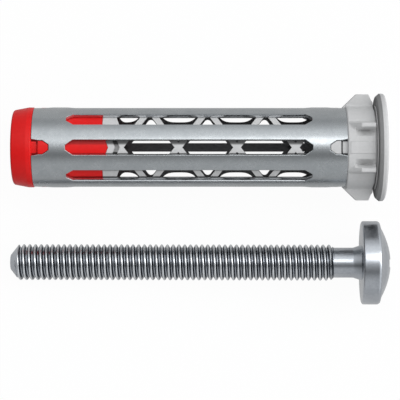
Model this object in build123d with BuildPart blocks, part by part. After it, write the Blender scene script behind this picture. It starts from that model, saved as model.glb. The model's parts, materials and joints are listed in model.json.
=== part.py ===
from build123d import *
import os
from math import atan2, cos, radians, sin, sqrt

# Hollow wall anchor for an 11 mm hole with its M5 clamping screw, in millimetres.
# Each piece is drawn upright on the Z axis, and both are laid down at the end.
# Anchor: Z = 0 is the sleeve's tip end, +Z points to the flange, and +X is the side
# that lies uppermost. Screw: Z = 0 is the underside of the head, the tip is at -Z.

# Sleeve
sleeve_radius = 5.5
sleeve_wall = 0.6
sleeve_length = 42.6
slot_count = 8
slot_width = 2.05
slot_length = 33.3
slot_point = 1.0
slot_end_flat = 0.67
tip_band = 4.6
notch_count = 4
notch_depth = 2.36
notch_width = 1.9
notch_point = 0.83
notch_end_flat = 0.8

# Clearances
fit = 0.05
tongue_gap = 0.08

# Snap tongues of both mouldings
tongue_neck_length = 0.9
tongue_neck_width = 1.6
tongue_neck_sink = 0.4
tongue_root = 0.5

# Red tip
tip_rim = 0.76
tip_cone = 2.11
tip_nose_radius = 5.1
tip_tube_length = 9.48
seam_point_length = 0.82
seam_point_width = 4.3

# Threaded bush inside the tip
bush_flats = 7.0
bush_length = 5.0
bush_start = -1.5
thread_core_radius = 2.1

# Lattice tube
lattice_wall = 0.52
lattice_pitch = 7.9
lattice_bar = 1.07
lattice_crossings = 4
lattice_first = 11.91
lattice_ring_end = 11.5
groove_width = 0.55
groove_depth = 0.25
spine_width = 1.2
rib_angle = 40
end_band = 2.4

# Collar with its fins, and flange
collar_radius = 5.65
collar_length = 3.75
collar_counterbore = 0.5
neck_radius = 5.2
neck_length = 0.28
flange_radius = 7.4
flange_thickness = 1.3
flange_rounding = 0.42
fin_radius = 7.28
fin_thickness = 1.5
fin_lead = 0.35
fin_ramp = 1.85
fin_land = 1.69
fin_back_drop = 1.08
side_fin_inner = 2.23
side_fin_crest = 2.79
side_fin_outer = 3.29
side_fin_foot = 3.54
side_fin_height = 5.95
side_fin_rise = 1.47
side_fin_ramp = 1.82
scoop_inner = 1.57
scoop_length = 2.76
scoop_setback = 1.42
scoop_depth = 0.8

# Screw
screw_radius = 2.5
screw_length = 48.65
screw_clearance = 0.25
screw_point = 0.9
screw_point_radius = 1.9
shank_radius = 2.07
shank_length = 2.63
screw_neck_radius = 2.45
screw_neck_length = 1.14
head_radius = 5.76
head_rim = 2.38
head_dome = 1.65
head_crown_radius = 2.4
recess_reach = 4.6
recess_width = 1.15
recess_depth = 2.4
recess_foot_reach = 2.2

# Places of the anchor and the screw on the table
axis_spacing = 15.97
head_setback = 1.47

# Worked-out sizes
sleeve_bore = sleeve_radius - sleeve_wall
inner_radius = sleeve_bore - fit
lattice_bore = inner_radius - lattice_wall
tongue_foot = inner_radius - tongue_root
screw_bore = screw_radius + screw_clearance
tip_nose = -(tip_rim + tip_cone)
seam_tip = tip_tube_length + seam_point_length
collar_end = sleeve_length + collar_length
flange_base = collar_end + neck_length
flange_face = flange_base + flange_thickness
hole_half_length = (lattice_pitch - lattice_bar) / 2
hole_foot = inner_radius * lattice_bar / lattice_pitch
far_out = 2 * flange_radius


def prism(plane, points, depth, both=False):
    """Straight prism over a polygon drawn on the plane."""
    with BuildPart() as solid:
        with BuildSketch(plane):
            with BuildLine():
                Polyline(*points, close=True)
            make_face()
        extrude(amount=depth, both=both)
    return solid.part


def ring_of(points):
    """Body of revolution round the Z axis over a polygon of radius and height."""
    with BuildPart() as solid:
        with BuildSketch(Plane.XZ):
            with BuildLine():
                Polyline(*points, close=True)
            make_face()
        revolve(axis=Axis.Z)
    return solid.part


def pointed_outline(start, way, sections):
    """Outline of even width either side of the axis, from (half width, length) pairs."""
    right = [(half_width, start + way * length) for half_width, length in sections]
    left = [(-half_width, height) for half_width, height in reversed(right)]
    return right + left


def snap_tongue(start, way):
    """One tongue on +X: a sunk neck, then a head that fills the sleeve's end notch."""
    half_neck = tongue_neck_width / 2
    half_head = notch_width / 2 - tongue_gap
    end = notch_depth - tongue_gap
    outline = pointed_outline(
        start,
        way,
        [
            (half_neck, 0),
            (half_neck, tongue_neck_length),
            (half_head, tongue_neck_length + tongue_gap),
            (half_head, notch_depth - notch_point),
            (notch_end_flat / 2 - tongue_gap / 2, end),
        ],
    )
    near = start + way * tongue_neck_length
    neck_top = sleeve_radius - tongue_neck_sink
    head_top = sleeve_radius - fit
    profile = [
        (tongue_foot, start),
        (neck_top, start),
        (neck_top, near),
        (head_top, near),
        (head_top, start + way * end),
        (tongue_foot, start + way * end),
    ]
    with BuildPart() as tongue:
        add(ring_of(profile))
        add(prism(Plane.YZ, outline, far_out), mode=Mode.INTERSECT)
    return tongue.part


def seam_region(gap):
    """Everything on the flange side of the seam between the red and the grey moulding."""
    half = seam_point_width / 2
    low = tip_tube_length + gap
    outline = [
        (-far_out, low),
        (-half, low),
        (0, low + seam_point_length),
        (half, low),
        (far_out, low),
        (far_out, 2 * sleeve_length),
        (-far_out, 2 * sleeve_length),
    ]
    return prism(Plane.YZ, outline, far_out, both=True)


# Sleeve: rolled sheet steel, slotted between its struts and notched at both ends
slot_outline = pointed_outline(
    tip_band,
    1,
    [
        (slot_end_flat / 2, 0),
        (slot_width / 2, slot_point),
        (slot_width / 2, slot_length - slot_point),
        (slot_end_flat / 2, slot_length),
    ],
)
notch_sections = [
    (notch_width / 2, 0),
    (notch_width / 2, notch_depth - notch_point),
    (notch_end_flat / 2, notch_depth),
]
with BuildPart() as sleeve:
    with BuildSketch():
        Circle(sleeve_radius)
        Circle(sleeve_bore, mode=Mode.SUBTRACT)
    extrude(amount=sleeve_length)
    with PolarLocations(0, slot_count):
        add(prism(Plane.YZ, slot_outline, far_out), mode=Mode.SUBTRACT)
    with PolarLocations(0, notch_count):
        for end, way in ((0, 1), (sleeve_length, -1)):
            notch_outline = pointed_outline(end, way, notch_sections)
            add(prism(Plane.YZ, notch_outline, far_out), mode=Mode.SUBTRACT)

# Tip: moulded nose with the tube that reaches into the slots, open for the screw
with BuildPart() as tip:
    with BuildSketch(Plane.XZ):
        with BuildLine():
            Polyline(
                (screw_bore, tip_nose),
                (tip_nose_radius, tip_nose),
                (sleeve_radius, -tip_rim),
                (sleeve_radius, 0),
                (inner_radius, 0),
                (inner_radius, seam_tip),
                (screw_bore, seam_tip),
                close=True,
            )
        make_face()
    revolve(axis=Axis.Z)
    add(seam_region(0), mode=Mode.SUBTRACT)
    with BuildSketch(Plane.XY.offset(bush_start)):
        RegularPolygon(bush_flats / 2, 6, major_radius=False)
    extrude(amount=bush_length, mode=Mode.SUBTRACT)
    with PolarLocations(0, notch_count):
        add(snap_tongue(0, 1))

# Threaded bush: long hexagon nut, moulded into the tip
with BuildPart() as threaded_bush:
    with BuildSketch(Plane.XY.offset(bush_start)):
        RegularPolygon(bush_flats / 2, 6, major_radius=False)
    extrude(amount=bush_length)
    with BuildSketch(Plane.XY.offset(bush_start)):
        Circle(thread_core_radius)
    extrude(amount=bush_length, mode=Mode.SUBTRACT)


def lattice_holes(plane, ribbed):
    """Holes between the crossing bars, cut straight through one half of the tube.

    The ribbed half keeps a spine along its middle and a short rib across each side hole.
    """
    band_start = sleeve_length - end_band
    rib_place = inner_radius * sin(radians(rib_angle))
    rib_width = spine_width * cos(radians(rib_angle))
    rib_length = rib_place * lattice_pitch / inner_radius
    with BuildPart() as holes:
        with BuildSketch(plane):
            for crossing in range(lattice_crossings):
                middle = lattice_first + crossing * lattice_pitch
                with BuildLine():
                    Polyline(
                        (0, middle + lattice_bar / 2),
                        (inner_radius - hole_foot, middle + lattice_pitch / 2),
                        (0, middle + lattice_pitch - lattice_bar / 2),
                        (hole_foot - inner_radius, middle + lattice_pitch / 2),
                        close=True,
                    )
                make_face()
                for side in (-1, 1):
                    with BuildLine():
                        Polyline(
                            (side * hole_foot, middle),
                            (side * inner_radius, middle + hole_half_length),
                            (side * far_out, middle + hole_half_length),
                            (side * far_out, middle - hole_half_length),
                            (side * inner_radius, middle - hole_half_length),
                            close=True,
                        )
                    make_face()
            window = band_start - lattice_ring_end
            with Locations((0, lattice_ring_end + window / 2)):
                Rectangle(2 * far_out, window, mode=Mode.INTERSECT)
            if ribbed:
                Rectangle(spine_width, 4 * sleeve_length, mode=Mode.SUBTRACT)
                for crossing in range(lattice_crossings):
                    middle = lattice_first + crossing * lattice_pitch
                    with Locations((-rib_place, middle), (rib_place, middle)):
                        Rectangle(rib_width, rib_length, mode=Mode.SUBTRACT)
        extrude(amount=far_out)
    return holes.part


# Side fin of the collar: a low wedge with a ramp, drawn on the +X +Y quarter
with BuildPart() as side_fin:
    fin_seat = sqrt(collar_radius**2 - side_fin_inner**2)
    fin_root_height = sqrt(collar_radius**2 - side_fin_foot**2)
    with BuildSketch(Plane.XY.offset(sleeve_length)):
        with BuildLine():
            Polyline(
                (neck_radius - side_fin_inner, side_fin_inner),
                (fin_seat, side_fin_inner),
                (side_fin_height, side_fin_crest),
                (side_fin_height, side_fin_outer),
                (fin_root_height, side_fin_foot),
                (neck_radius - side_fin_inner, side_fin_foot),
                close=True,
            )
        make_face()
    extrude(amount=collar_length)
    ramp_cut = [
        (side_fin_height - side_fin_rise, sleeve_length),
        (side_fin_height, sleeve_length + side_fin_ramp),
        (far_out, sleeve_length + side_fin_ramp),
        (far_out, sleeve_length),
    ]
    add(prism(Plane.XZ, ramp_cut, far_out, both=True), mode=Mode.SUBTRACT)

# Scoop beside a side fin: deepest at the fin's foot, run out towards the flat pad
with BuildPart() as scoop:
    scoop_middle = collar_end - scoop_setback
    scoop_rim = sqrt(collar_radius**2 - scoop_inner**2)
    scoop_floor = fin_seat - scoop_depth
    scoop_width = [
        (scoop_rim, scoop_inner),
        (scoop_floor, side_fin_inner),
        (far_out, side_fin_inner),
        (far_out, scoop_inner),
    ]
    scoop_sides = [
        (scoop_floor, scoop_middle - scoop_length / 4),
        (scoop_floor, scoop_middle + scoop_length / 4),
        (scoop_rim, scoop_middle + scoop_length / 2),
        (far_out, scoop_middle + scoop_length / 2),
        (far_out, scoop_middle - scoop_length / 2),
        (scoop_rim, scoop_middle - scoop_length / 2),
    ]
    add(prism(Plane.XY.offset(sleeve_length), scoop_width, collar_length))
    add(prism(Plane.XZ, scoop_sides, far_out, both=True), mode=Mode.INTERSECT)

# Plastic body: lattice tube, collar with fins and tongues, and flange in one moulding
with BuildPart() as plastic_body:
    with BuildSketch(Plane.XZ):
        with BuildLine():
            Polyline(
                (screw_bore, flange_face),
                (screw_bore, sleeve_length + collar_counterbore),
                (lattice_bore, sleeve_length + collar_counterbore),
                (lattice_bore, tip_tube_length),
                (inner_radius, tip_tube_length),
                (inner_radius, sleeve_length),
                (collar_radius, sleeve_length),
                (collar_radius, collar_end),
                (neck_radius, collar_end),
                (neck_radius, flange_base),
                (flange_radius, flange_base),
                (flange_radius, flange_face - flange_rounding),
                (flange_radius - flange_rounding, flange_face),
                close=True,
            )
        make_face()
    revolve(axis=Axis.Z)
    add(seam_region(fit), mode=Mode.INTERSECT)
    add(lattice_holes(Plane.YZ, False), mode=Mode.SUBTRACT)
    add(lattice_holes(Plane.YZ, True).mirror(Plane.YZ), mode=Mode.SUBTRACT)
    groove_low = lattice_ring_end - groove_width / 2
    groove_points = [
        (-seam_point_width / 2, groove_low - seam_point_length),
        (0, groove_low),
        (seam_point_width / 2, groove_low - seam_point_length),
        (seam_point_width / 2, groove_low - seam_point_length + groove_width),
        (0, groove_low + groove_width),
        (-seam_point_width / 2, groove_low - seam_point_length + groove_width),
    ]
    groove_floor = Plane.YZ.offset(inner_radius - groove_depth)
    add(prism(groove_floor, groove_points, far_out), mode=Mode.SUBTRACT)
    with PolarLocations(0, notch_count):
        add(snap_tongue(sleeve_length, -1))
    fin_outline = [
        (tongue_foot, sleeve_length - fin_lead),
        (sleeve_radius, sleeve_length - fin_lead),
        (fin_radius, sleeve_length - fin_lead + fin_ramp),
        (fin_radius, sleeve_length - fin_lead + fin_ramp + fin_land),
        (fin_radius - fin_back_drop, collar_end - fin_lead / 2),
        (neck_radius, collar_end),
        (tongue_foot, collar_end),
    ]
    with PolarLocations(0, 2):
        add(prism(Plane.YZ, fin_outline, fin_thickness / 2, both=True))
    for mirrored_x in (False, True):
        for mirrored_y in (False, True):
            fin, hollow = side_fin.part, scoop.part
            if mirrored_x:
                fin, hollow = fin.mirror(Plane.YZ), hollow.mirror(Plane.YZ)
            if mirrored_y:
                fin, hollow = fin.mirror(Plane.XZ), hollow.mirror(Plane.XZ)
            add(hollow, mode=Mode.SUBTRACT)
            add(fin)

# Screw: round shank under a domed head with a cross recess
with BuildPart() as screw:
    shank_top = -(screw_neck_length + shank_length)
    with BuildSketch(Plane.XZ):
        with BuildLine():
            Polyline(
                (0, -screw_length),
                (screw_point_radius, -screw_length),
                (screw_radius, -screw_length + screw_point),
                (screw_radius, shank_top),
                (shank_radius, shank_top),
                (shank_radius, -screw_neck_length),
                (screw_neck_radius, 0),
                (head_radius, 0),
                (head_radius, head_rim),
                (head_crown_radius, head_rim + head_dome),
                (0, head_rim + head_dome),
                close=True,
            )
        make_face()
    revolve(axis=Axis.Z)
    recess_top = head_rim + head_dome
    recess_outline = [
        (-recess_reach / 2, recess_top),
        (-recess_foot_reach / 2, recess_top - recess_depth),
        (recess_foot_reach / 2, recess_top - recess_depth),
        (recess_reach / 2, recess_top),
    ]
    for wings in (Plane.XZ, Plane.YZ):
        wing_pair = prism(wings, recess_outline, recess_width / 2, both=True)
        add(wing_pair, mode=Mode.SUBTRACT)


def rest_tilt(far_length, far_radius, near_length, near_radius):
    """Tilt at which two rims of a turned piece both touch the table."""
    return atan2(far_radius - near_radius, far_length - near_length)


def lying(tilt, near_length, near_radius, start, across):
    """Place of a piece that lies with its +Z axis along the table's +X, tilted up."""
    height = near_radius * cos(tilt) - near_length * sin(tilt)
    return Plane(
        origin=(start, across, height),
        x_dir=(-sin(tilt), 0, cos(tilt)),
        z_dir=(cos(tilt), 0, sin(tilt)),
    ).location


# Both come to rest on their larger end and on the corner of their smaller end
anchor_tilt = rest_tilt(flange_base, flange_radius, -tip_rim, sleeve_radius)
screw_corner = screw_point - screw_length
screw_tilt = rest_tilt(0, head_radius, screw_corner, screw_radius)
anchor_place = lying(anchor_tilt, -tip_rim, sleeve_radius, 0, axis_spacing / 2)
head_place = flange_base - head_setback
screw_place = lying(screw_tilt, screw_corner, screw_radius, head_place, -axis_spacing / 2)

anchor_pieces = (sleeve, tip, threaded_bush, plastic_body)
for piece in anchor_pieces:
    piece.part.locate(anchor_place)
screw.part.locate(screw_place)

# The frame's origin lies under the middle of both
everything = Compound([piece.part for piece in (*anchor_pieces, screw)])
middle = everything.bounding_box().center()
to_origin = Location((-middle.X, -middle.Y, 0))
for piece in (*anchor_pieces, screw):
    piece.part.locate(to_origin * piece.part.location)

sleeve.part.label = "sleeve"
tip.part.label = "tip"
threaded_bush.part.label = "threaded_bush"
plastic_body.part.label = "plastic_body"
screw.part.label = "screw"

os.makedirs("parts", exist_ok=True)
export_step(sleeve.part, "parts/sleeve.step")
export_step(tip.part, "parts/tip.step")
export_step(threaded_bush.part, "parts/threaded_bush.step")
export_step(plastic_body.part, "parts/plastic_body.step")
export_step(screw.part, "parts/screw.step")
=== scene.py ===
import json
from math import atan2, cos, pi, radians, sin, sqrt, tan

import bmesh
import bpy
from mathutils import Matrix, Vector


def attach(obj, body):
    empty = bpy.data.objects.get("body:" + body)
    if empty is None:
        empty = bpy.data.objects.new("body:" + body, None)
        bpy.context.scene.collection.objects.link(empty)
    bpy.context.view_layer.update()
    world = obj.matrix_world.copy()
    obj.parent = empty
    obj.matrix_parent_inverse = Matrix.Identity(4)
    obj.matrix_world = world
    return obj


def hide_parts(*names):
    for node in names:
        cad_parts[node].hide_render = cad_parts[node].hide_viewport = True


# A hollow wall anchor and its screw, lying on a pale floor.
# Each piece is drawn in millimetres, upright on its own Z axis as in the CAD source,
# and put in place by the axis of one of the frame's mounts.
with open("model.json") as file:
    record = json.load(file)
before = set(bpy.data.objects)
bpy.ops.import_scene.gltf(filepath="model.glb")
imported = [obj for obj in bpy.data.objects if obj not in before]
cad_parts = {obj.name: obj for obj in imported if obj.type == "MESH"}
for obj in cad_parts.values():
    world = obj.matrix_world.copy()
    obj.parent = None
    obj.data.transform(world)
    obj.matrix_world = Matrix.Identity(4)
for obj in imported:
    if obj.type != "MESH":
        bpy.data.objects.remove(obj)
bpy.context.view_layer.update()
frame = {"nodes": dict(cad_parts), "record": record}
mounts = {mount["name"]: mount for mount in frame["record"]["mounts"]}
mm = 0.001
roundSegments = 192  # points round whatever is turned
mergeDistance = 2e-7  # in metres
creaseAngle = 32  # degrees past which an edge stays sharp

# Sizes that several pieces share, in millimetres, and the quarters that repeat round the
# anchor, each with two slots and, at each end, one notch
anchor = {
    "quarters": 4,
    "sleeveRadius": 5.5,
    "sleeveWall": 0.6,
    "sleeveLength": 42.6,
    "tubeRadius": 4.85,
    "tubeBore": 4.33,
    "screwHole": 2.75,
    "notchDepth": 2.36,
    "notchWidth": 1.9,
    "notchPoint": 0.83,
    "notchEndFlat": 0.8,
    "tongueGap": 0.08,
    "redLength": 9.48,
    "seamPoint": 0.82,
    "seamWidth": 4.3,
    "fit": 0.05,
    "bushMount": 1.0,
}


def squareTo(axis, way):
    # the direction nearest to a way that is square to an axis
    return (way - axis * axis.dot(way)).normalized()


def placeOf(xWay, zWay, origin):
    # the place with these X and Z axes and this origin
    place = Matrix((xWay, zWay.cross(xWay), zWay)).transposed().to_4x4()
    place.translation = origin
    return place


def lyingPlace(mountName, along, way):
    # from millimetres, upright on Z, to the frame: the mount sits at Z = along
    mount = mounts[mountName]
    axis = Vector(mount["axis"]) * way
    upper = squareTo(axis, Vector((0, 0, 1)))
    origin = Vector(mount["pos_m"]) - axis * along * mm
    return placeOf(upper, axis, origin) @ Matrix.Scale(mm, 4)


anchorPlace = lyingPlace("bush_thread", anchor["bushMount"], 1)
print("frame loaded, anchor axis at", [round(v, 5) for v in anchorPlace.translation])


def newObject(name, data):
    obj = bpy.data.objects.new(name, data)
    bpy.context.scene.collection.objects.link(obj)
    return obj


# Mesh helpers, all in a piece's own millimetres
def meshObject(name, verts, faces, place, material):
    mesh = bpy.data.meshes.new(name)
    mesh.from_pydata([place @ Vector(v) for v in verts], [], faces)
    bm = bmesh.new()
    bm.from_mesh(mesh)
    loose = [v for v in bm.verts if not v.link_faces]
    bmesh.ops.delete(bm, geom=loose, context="VERTS")
    bmesh.ops.remove_doubles(bm, verts=bm.verts, dist=mergeDistance)
    bmesh.ops.recalc_face_normals(bm, faces=bm.faces)
    bm.to_mesh(mesh)
    bm.free()
    mesh.materials.append(material)
    return newObject(name, mesh)


def joinShells(*shells):
    # several closed shells as one list of points and faces
    verts, faces = [], []
    for shellVerts, shellFaces in shells:
        base = len(verts)
        verts += shellVerts
        faces += [[base + i for i in face] for face in shellFaces]
    return verts, faces


def skinRows(rows, loopClosed=False):
    # skin over closed rows of equally many points, capped at both ends unless it loops
    count = len(rows[0])
    verts = [point for row in rows for point in row]
    faces = []
    lastRow = len(rows) if loopClosed else len(rows) - 1
    for i in range(lastRow):
        for j in range(count):
            a, b = i * count, (i + 1) % len(rows) * count
            k = (j + 1) % count
            faces.append([a + j, a + k, b + k, b + j])
    if not loopClosed:
        faces.append(list(range(count))[::-1])
        faces.append([(len(rows) - 1) * count + j for j in range(count)])
    return verts, faces


def evenly(low, high, steps):
    # values from low to high at equal distances, both ends included
    return [low + (high - low) * i / steps for i in range(steps + 1)]


roundAngles = evenly(0, 2 * pi, roundSegments)[:-1]


def softCorners(corners, steps=6):
    # closed outline with rounded corners, from (radius, height, rounding) triples
    outline = []
    for i, (x, y, rounding) in enumerate(corners):
        here = Vector((x, y))
        if not rounding:
            outline.append((x, y))
            continue
        back = (Vector(corners[i - 1][:2]) - here).normalized()
        ahead = (Vector(corners[(i + 1) % len(corners)][:2]) - here).normalized()
        half = back.angle(ahead) / 2
        reach = rounding / tan(half)
        centre = here + (back + ahead).normalized() * rounding / sin(half)
        start, end = here + back * reach - centre, here + ahead * reach - centre
        turn = start.angle_signed(end)
        for angle in evenly(0, -turn, steps):
            spoke = start.copy()
            spoke.rotate(Matrix.Rotation(angle, 2))
            outline.append(tuple(centre + spoke))
    return outline


def turned(outline, rule=None, loopClosed=True):
    # lathe over an outline of radius and height, bent by a rule where given
    rows = []
    for radius, height in outline:
        row = []
        for angle in roundAngles:
            r, z = rule(angle, radius, height) if rule else (radius, height)
            row.append((r * cos(angle), r * sin(angle), z))
        rows.append(row)
    return skinRows(rows, loopClosed=loopClosed)


def depthAt(radius, y):
    # how far a circle reaches at sideways offset y
    return sqrt(max(radius * radius - y * y, 0.0))


def onRound(radius, y, z, turnBy=0.0):
    # point on a cylinder at sideways offset y, turned round the axis
    x = depthAt(radius, y)
    c, s = cos(turnBy), sin(turnBy)
    return (x * c - y * s, x * s + y * c, z)


def ramped(value, low, high):
    return min(max((value - low) / (high - low), 0.0), 1.0)


def stripPad(sections, columns=8, turnBy=0.0):
    # pad that follows the tube's roundness, from (height, half width, top, foot) sections
    rows = []
    for height, half, top, foot in sections:
        spread = evenly(-half, half, columns)
        above = [onRound(top, y, height, turnBy) for y in spread]
        below = [onRound(foot, y, height, turnBy) for y in reversed(spread)]
        rows.append(above + below)
    return skinRows(rows)


def roundNormals(obj, place, within=16):
    # exact normals on what is turned round the piece's axis, so long glints stay straight
    mesh = obj.data
    mesh.shade_smooth()
    mesh.set_sharp_from_angle(angle=radians(creaseAngle))
    back = place.inverted()
    spin = place.to_3x3().normalized()
    limit = cos(radians(within))
    kept = [Vector(n.vector) for n in mesh.corner_normals]
    for face in mesh.polygons:
        middle = back @ face.center
        facing = spin.transposed() @ face.normal
        flat = Vector((middle.x, middle.y, 0)).normalized()
        side = facing.dot(flat)
        if abs(side) < limit:
            continue
        for loop in face.loop_indices:
            corner = back @ mesh.vertices[mesh.loops[loop].vertex_index].co
            out = Vector((corner.x, corner.y, 0)).normalized() * (1 if side > 0 else -1)
            kept[loop] = (spin @ out).normalized()
    mesh.normals_split_custom_set(kept)


def softenEdges(obj, width, segments=2, angle=40):
    bevel = obj.modifiers.new("edges", "BEVEL")
    bevel.width = width * mm
    bevel.segments = segments
    bevel.limit_method = "ANGLE"
    bevel.angle_limit = radians(angle)
    bevel.use_clamp_overlap = False
    applied(obj)


def applied(obj):
    # the evaluated result as a plain mesh, with no modifier left
    graph = bpy.context.evaluated_depsgraph_get()
    mesh = bpy.data.meshes.new_from_object(obj.evaluated_get(graph))
    mesh.name = obj.name
    obj.modifiers.clear()
    obj.data = mesh


# how far a face looks outward, as the cosine of its angle: to the axis, aside or out
lookingIn = (-1.1, -0.6)
lookingAside = (-0.5, 0.5)
lookingOut = (0.6, 1.1)
bottomless = -100.0  # a height below every piece


def paintFacing(obj, place, material, looking, above=bottomless, alongAxis=False):
    # a second material on faces above a height that look a given way from the axis, or
    # along the axis
    low, high = looking
    obj.data.materials.append(material)
    index = len(obj.data.materials) - 1
    back = place.inverted()
    spin = place.to_3x3().normalized().transposed()
    for face in obj.data.polygons:
        middle = back @ face.center
        way = Vector((0, 0, 1)) if alongAxis else Vector((middle.x, middle.y, 0)).normalized()
        if middle.z > above and low < (spin @ face.normal).dot(way) < high:
            face.material_index = index


def settle(obj, nodes):
    # the piece moves with the root and stands for its CAD nodes
    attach(obj, "root")
    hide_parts(*nodes)
    print("made", obj.name, "with", len(obj.data.polygons), "faces")


# Node tree helpers
def treeOf(name, kind, inputs, outputs):
    # a node tree whose sockets have a type's name or, as an input may, a number
    tree = bpy.data.node_groups.new(name, kind)
    for way, sockets in (("INPUT", inputs), ("OUTPUT", outputs)):
        for label, value in sockets.items():
            typeName = {int: "Int", float: "Float"}.get(type(value), value)
            socketType = "NodeSocket" + typeName
            socket = tree.interface.new_socket(label, in_out=way, socket_type=socketType)
            if typeName != value:
                socket.default_value = value
    return tree


def feed(tree, socket, value):
    # a plain value, or a link from a socket or from a node's first output
    if isinstance(value, bpy.types.Node):
        value = value.outputs[0]
    if isinstance(value, bpy.types.NodeSocket):
        tree.links.new(value, socket)
    else:
        socket.default_value = value


def addNode(tree, kind, inputs=None, **settings):
    node = tree.nodes.new(kind)
    for key, value in settings.items():
        setattr(node, key, value)
    for key, value in (inputs or {}).items():
        feed(tree, node.inputs[key], value)
    return node


def calc(tree, operation, a, b=0.0, c=0.0):
    return addNode(tree, "ShaderNodeMath", {0: a, 1: b, 2: c}, operation=operation)


def rampNode(tree, value, between, low, high, **settings):
    # a value taken from one range to another
    return addNode(tree, "ShaderNodeMapRange",
                   {"Value": value, "From Min": between[0], "From Max": between[1],
                    "To Min": low, "To Max": high}, **settings)


def giveInputs(obj, tree, values):
    # a Geometry Nodes modifier with its inputs set by identifier
    modifier = obj.modifiers.new(tree.name, "NODES")
    modifier.node_group = tree
    sockets = [item for item in tree.interface.items_tree if item.in_out == "INPUT"]
    named = {socket.name: socket.identifier for socket in sockets}
    for label, value in values.items():
        modifier[named[label]] = value


# Shared effect: cloudy patches over fine specks, from 0 to 1
cloudTree = treeOf(
    "cloudsAndSpecks",
    "ShaderNodeTree",
    {"Patch Scale": 300.0, "Speck Scale": 3000.0, "Speck Share": 0.4},
    {"Mask": "Float", "Grain": "Float"},
)
cloudIn = addNode(cloudTree, "NodeGroupInput").outputs
cloudPlace = addNode(cloudTree, "ShaderNodeTexCoord").outputs["Object"]
patches = addNode(cloudTree, "ShaderNodeTexNoise",
                  {"Vector": cloudPlace, "Scale": cloudIn["Patch Scale"], "Detail": 3.0})
specks = addNode(cloudTree, "ShaderNodeTexNoise",
                 {"Vector": cloudPlace, "Scale": cloudIn["Speck Scale"], "Detail": 2.0})
cloudMix = addNode(cloudTree, "ShaderNodeMix",
                   {"Factor": cloudIn["Speck Share"], "A": patches.outputs["Fac"],
                    "B": specks.outputs["Fac"]}, data_type="FLOAT")
addNode(cloudTree, "NodeGroupOutput",
        {"Mask": cloudMix.outputs["Result"], "Grain": specks.outputs["Fac"]})

# Shared effect: painted shade on the tube beside a slot's edges, as the light left to a place
# there. A slot's lower and upper edges get it between two places, in millimetres round the
# tube from the slot's middle, and the upper painted shade comes in between two places across the
# tube.
slotShade = {
    "lower": (0.70, 0.84),
    "upper": (-0.28, -0.56),
    "upperFrom": (-3.2, -1.2),
    "latticeLeft": 0.17,
    "redLeft": 0.5,
}
slotShadeTree = treeOf("slotShade", "ShaderNodeTree", {"Left": 0.2}, {"Light": "Float"})
slotShadeIn = addNode(slotShadeTree, "NodeGroupInput").outputs
slotPlace = addNode(slotShadeTree, "ShaderNodeTexCoord").outputs["Object"]
fromAxis = addNode(slotShadeTree, "ShaderNodeVectorMath",
                   {0: slotPlace, 1: anchorPlace.translation}, operation="SUBTRACT")
tubeX, tubeY = [
    addNode(slotShadeTree, "ShaderNodeVectorMath", {0: fromAxis, 1: way.xyz.normalized()},
            operation="DOT_PRODUCT").outputs["Value"]
    for way in anchorPlace.col[:2]
]
halfSpacing = pi / (2 * anchor["quarters"])
tubeAngle = calc(slotShadeTree, "ARCTAN2", tubeY, tubeX)
fromSlot = calc(slotShadeTree, "WRAP", tubeAngle, halfSpacing, -halfSpacing)
offSlot = calc(slotShadeTree, "MULTIPLY", fromSlot, anchor["tubeRadius"])
shadeLeft = slotShadeIn["Left"]
upperFrom = [place * mm for place in slotShade["upperFrom"]]
upperLeft = rampNode(slotShadeTree, tubeY, upperFrom, 1.0, shadeLeft)
upperLight = rampNode(slotShadeTree, offSlot, slotShade["upper"], 1.0, upperLeft)
lowerLight = rampNode(slotShadeTree, offSlot, slotShade["lower"], 1.0, shadeLeft)
slotLight = calc(slotShadeTree, "MINIMUM", upperLight, lowerLight)
addNode(slotShadeTree, "NodeGroupOutput", {"Light": slotLight})


def shadedAtSlots(material, left):
    # the same surface, with painted shade on the tube beside the sleeve's slots
    tree = material.node_tree
    shader = tree.nodes["Principled BSDF"]
    tone = shader.inputs["Base Color"].links[0].from_socket
    shade = addNode(tree, "ShaderNodeGroup", {"Left": left}, node_tree=slotShadeTree)
    scaled = addNode(tree, "ShaderNodeVectorMath", {0: tone, "Scale": shade}, operation="SCALE")
    feed(tree, shader.inputs["Base Color"], scaled)


def surfaceOf(name, look):
    # a Principled surface with its colour and roughness varied by the shared clouds
    material = bpy.data.materials.new(name)
    material.use_nodes = True
    tree = material.node_tree
    shader = tree.nodes["Principled BSDF"]
    clouds = addNode(tree, "ShaderNodeGroup",
                     {"Patch Scale": look["patchScale"], "Speck Scale": look["speckScale"],
                      "Speck Share": look["speckShare"]}, node_tree=cloudTree).outputs
    tone = addNode(tree, "ShaderNodeValToRGB", {"Fac": clouds["Mask"]})
    low, high = tone.color_ramp.elements
    low.position, high.position = look["between"]
    low.color = (*look["darker"], 1)
    high.color = (*look["lighter"], 1)
    rough = rampNode(tree, clouds["Mask"], look["between"], *look["roughness"])
    bump = addNode(tree, "ShaderNodeBump",
                   {"Height": clouds["Grain"], "Strength": look["bump"],
                    "Distance": look["bumpDepth"] * mm})
    feed(tree, shader.inputs["Base Color"], tone)
    feed(tree, shader.inputs["Roughness"], rough)
    feed(tree, shader.inputs["Normal"], bump)
    shader.inputs["Metallic"].default_value = look["metallic"]
    for label, value in look.get("shader", {}).items():
        shader.inputs[label].default_value = value
    return material


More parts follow.
